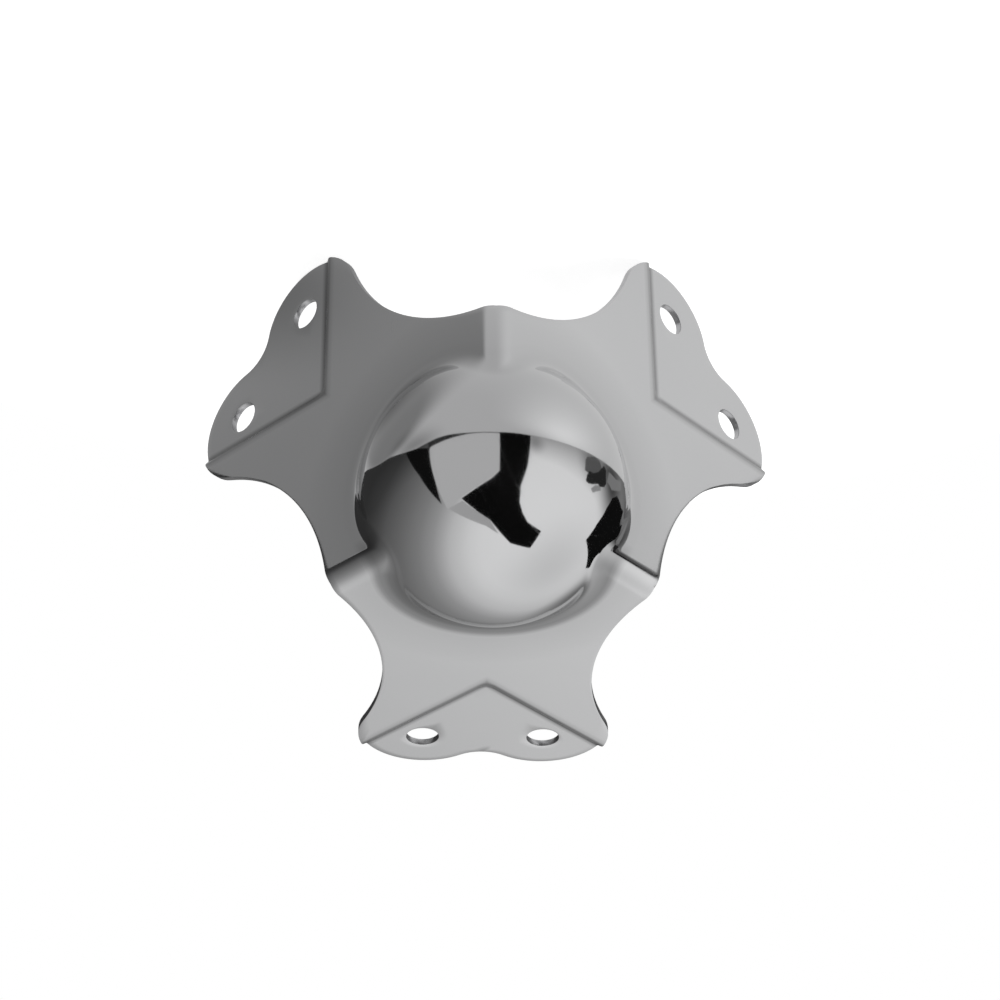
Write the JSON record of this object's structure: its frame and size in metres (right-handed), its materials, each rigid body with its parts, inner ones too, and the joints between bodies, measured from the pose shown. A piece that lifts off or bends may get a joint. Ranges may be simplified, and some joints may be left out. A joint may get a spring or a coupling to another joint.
{
  "type": "case corner",
  "caption": "Pressed steel ball corner with cranked, lobed legs that is riveted over the outer corner of a flight case.",
  "frame": {"origin": "the sharp outer corner of the case, where the three faces that the fitting sits on meet", "axes": "+X, -Y and +Z point out of the three case faces that the legs lie on, so the case fills -X, +Y, -Z; each is the axis of that face's rivet holes"},
  "size_m": [0.0676, 0.0676, 0.0676],
  "materials": {
    "plated_steel": "bright plated steel, polished on the ball, fine satin on the legs"
  },
  "bodies": {
    "root": {"ball_corner": "plated_steel"}
  },
  "joints": []
}
